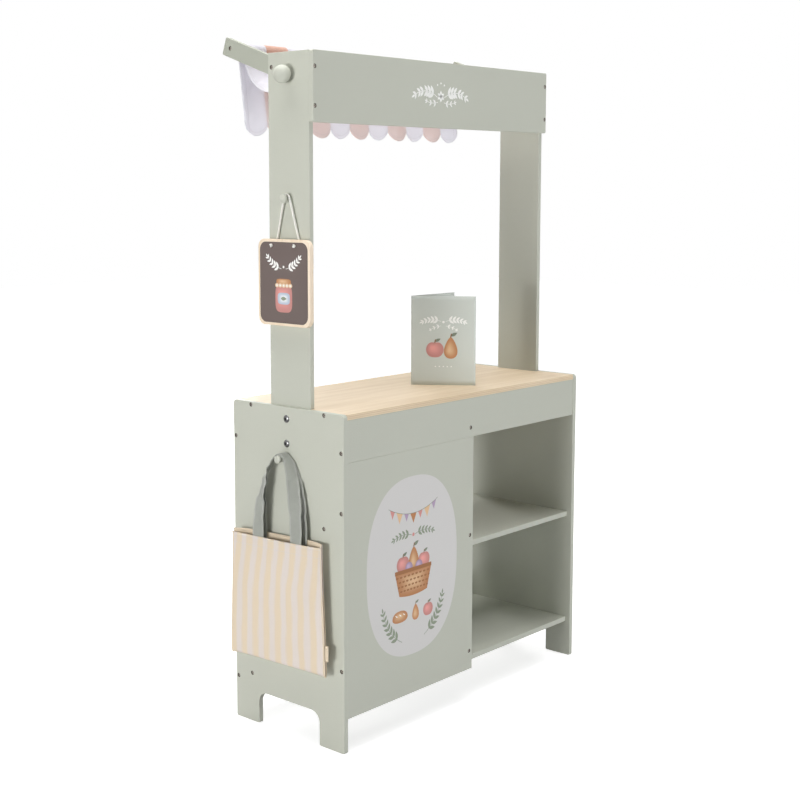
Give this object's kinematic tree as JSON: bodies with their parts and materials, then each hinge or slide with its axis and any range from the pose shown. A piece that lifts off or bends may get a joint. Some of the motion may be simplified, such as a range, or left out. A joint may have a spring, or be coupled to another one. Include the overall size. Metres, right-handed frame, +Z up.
{
  "type": "toy market stall",
  "caption": "Play market stall with a counter, open shelf bays, a front panel, two posts with a sign board, a tilting striped awning, a hanging plaque, a tote bag and a folded menu card.",
  "frame": {"origin": "on the floor plane, at the centre of the cabinet's footprint between the side panels", "axes": "+Z up, +X to the viewer's right along the counter's width, +Y from the front with the sign board to the back with the awning"},
  "size_m": [0.6854, 0.2866, 1.1324],
  "materials": {
    "sage_paint": "satin sage-green paint on board",
    "birch_ply": "clear matt birch",
    "plaque_wood": "natural wood edge with a brown-grey printed face",
    "awning_cloth": "woven cotton in white and peach stripes",
    "bag_canvas": "cotton canvas in beige and off-white stripes",
    "webbing": "woven cotton webbing in sage grey",
    "cotton_cord": "twisted cotton cord",
    "menu_card": "matt printed card",
    "screw_steel": "dark zinc",
    "bright_steel": "bright zinc"
  },
  "bodies": {
    "stall": {"left_side_panel": "sage_paint", "right_side_panel": "sage_paint", "front_rail": "sage_paint", "front_panel": "sage_paint", "divider_panel": "sage_paint", "back_rail": "sage_paint", "low_back_rail": "sage_paint", "left_mid_shelf": "sage_paint", "left_low_shelf": "sage_paint", "right_mid_shelf": "sage_paint", "right_low_shelf": "sage_paint", "left_post": "sage_paint", "right_post": "sage_paint", "sign_board": "sage_paint", "plaque_peg": "sage_paint", "bag_peg": "sage_paint", "counter_top": "birch_ply", "post_bolts": "bright_steel", "post_nuts": "bright_steel", "stop_screws": "screw_steel", "left_panel_screws": "screw_steel", "right_panel_screws": "screw_steel", "front_screws": "screw_steel", "back_screws": "screw_steel", "shelf_screws": "screw_steel", "sign_screws": "screw_steel"},
    "awning": {"left_arm": "sage_paint", "right_arm": "sage_paint", "front_bar": "birch_ply", "rear_bar": "birch_ply", "awning_canopy": "awning_cloth", "left_pivot_bolt": "screw_steel", "right_pivot_bolt": "screw_steel", "arm_screws": "screw_steel"},
    "valance": {"awning_valance": "awning_cloth"},
    "left_knob": {"left_knob": "sage_paint"},
    "right_knob": {"right_knob": "sage_paint"},
    "plaque": {"plaque_board": "plaque_wood", "plaque_cord": "cotton_cord"},
    "bag": {"bag_body": "bag_canvas", "bag_front_handle": "webbing", "bag_rear_handle": "webbing", "bag_tab": "bag_canvas"},
    "menu_front": {"menu_front_leaf": "menu_card"},
    "menu_rear": {"menu_rear_leaf": "menu_card"}
  },
  "joints": [
    {"name": "awning_tilt", "type": "hinge", "parent": "stall", "child": "awning", "pos_m": [0, 0, 1.0645], "axis": [1, 0, 0], "range_deg": [-19, 10]},
    {"name": "valance_hang", "type": "hinge", "parent": "awning", "child": "valance", "pos_m": [0, 0.14303, 1.11445], "axis": [1, 0, 0], "range_deg": [-12, 21]},
    {"name": "left_knob_turn", "type": "hinge", "parent": "awning", "child": "left_knob", "pos_m": [-0.32, 0, 1.0645], "axis": [-1, 0, 0], "continuous": true},
    {"name": "right_knob_turn", "type": "hinge", "parent": "awning", "child": "right_knob", "pos_m": [0.32, 0, 1.0645], "axis": [1, 0, 0], "continuous": true},
    {"name": "plaque_swing", "type": "hinge", "parent": "stall", "child": "plaque", "pos_m": [-0.314, 0, 0.872], "axis": [1, 0, 0], "range_deg": [-40, 40]},
    {"name": "bag_swing", "type": "hinge", "parent": "stall", "child": "bag", "pos_m": [-0.328, 0, 0.46], "axis": [1, 0, 0], "range_deg": [-35, 35]},
    {"name": "menu_lift", "type": "slide", "parent": "stall", "child": "menu_front", "axis": [0, 0, 1], "range_m": [0, 0.2]},
    {"name": "menu_fold", "type": "hinge", "parent": "menu_front", "child": "menu_rear", "pos_m": [0.0075, 0.017, 0.621], "axis": [0, 0, 1], "range_deg": [-48, 125]}
  ],
  "couplings": [
    {"joint": "valance_hang", "follows": "awning_tilt", "ratio": -1}
  ]
}
